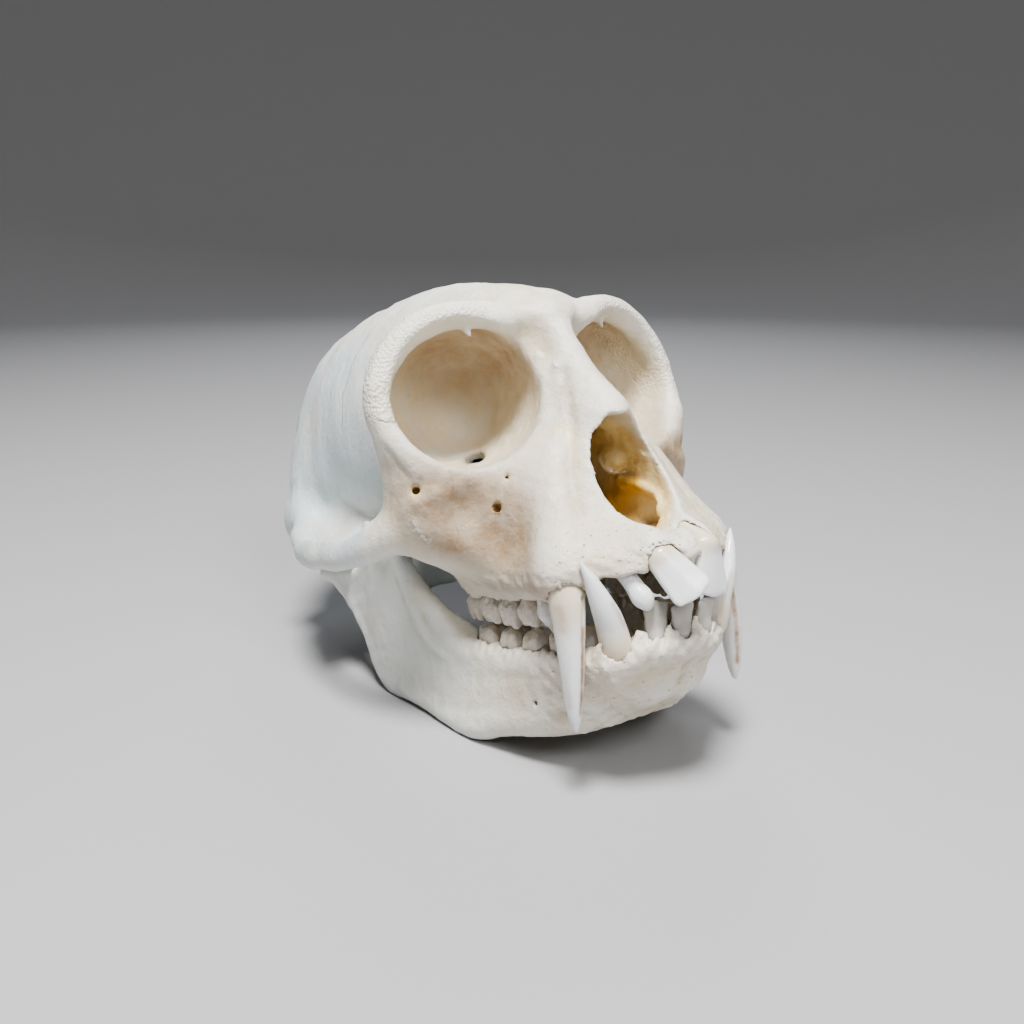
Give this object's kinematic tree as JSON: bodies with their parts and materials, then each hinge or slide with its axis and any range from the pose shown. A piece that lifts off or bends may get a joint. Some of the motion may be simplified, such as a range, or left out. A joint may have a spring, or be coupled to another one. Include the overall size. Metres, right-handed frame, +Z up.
{
  "type": "monkey skull",
  "caption": "Dry vervet monkey skull with its lower jaw and full dentition, long canines, large round orbits and open cheek arches.",
  "frame": {"origin": "centre of the bounding box in plan, on the table the skull lies on", "axes": "+Z up from the table, -Y the way the face looks, +X to the animal's left"},
  "size_m": [0.0709, 0.1199, 0.0756],
  "materials": {
    "bone": "dry cleaned bone, creamy white with tan stains, matt to satin",
    "tooth": "tooth enamel and exposed root, ivory to bluish white, satin to glossy"
  },
  "bodies": {
    "root": {"cranium": "bone", "mandible": "bone", "upper_right_incisor_1": "tooth", "upper_right_incisor_2": "tooth", "upper_right_canine": "tooth", "upper_right_premolar_3": "tooth", "upper_right_premolar_4": "tooth", "upper_right_molar_1": "tooth", "upper_right_molar_2": "tooth", "upper_right_molar_3": "tooth", "upper_left_incisor_1": "tooth", "upper_left_incisor_2": "tooth", "upper_left_canine": "tooth", "upper_left_premolar_3": "tooth", "upper_left_premolar_4": "tooth", "upper_left_molar_1": "tooth", "upper_left_molar_2": "tooth", "upper_left_molar_3": "tooth", "lower_right_incisor_1": "tooth", "lower_right_incisor_2": "tooth", "lower_right_canine": "tooth", "lower_right_premolar_3": "tooth", "lower_right_premolar_4": "tooth", "lower_right_molar_1": "tooth", "lower_right_molar_2": "tooth", "lower_right_molar_3": "tooth", "lower_left_incisor_1": "tooth", "lower_left_incisor_2": "tooth", "lower_left_canine": "tooth", "lower_left_premolar_3": "tooth", "lower_left_premolar_4": "tooth", "lower_left_molar_1": "tooth", "lower_left_molar_2": "tooth", "lower_left_molar_3": "tooth"}
  },
  "joints": []
}
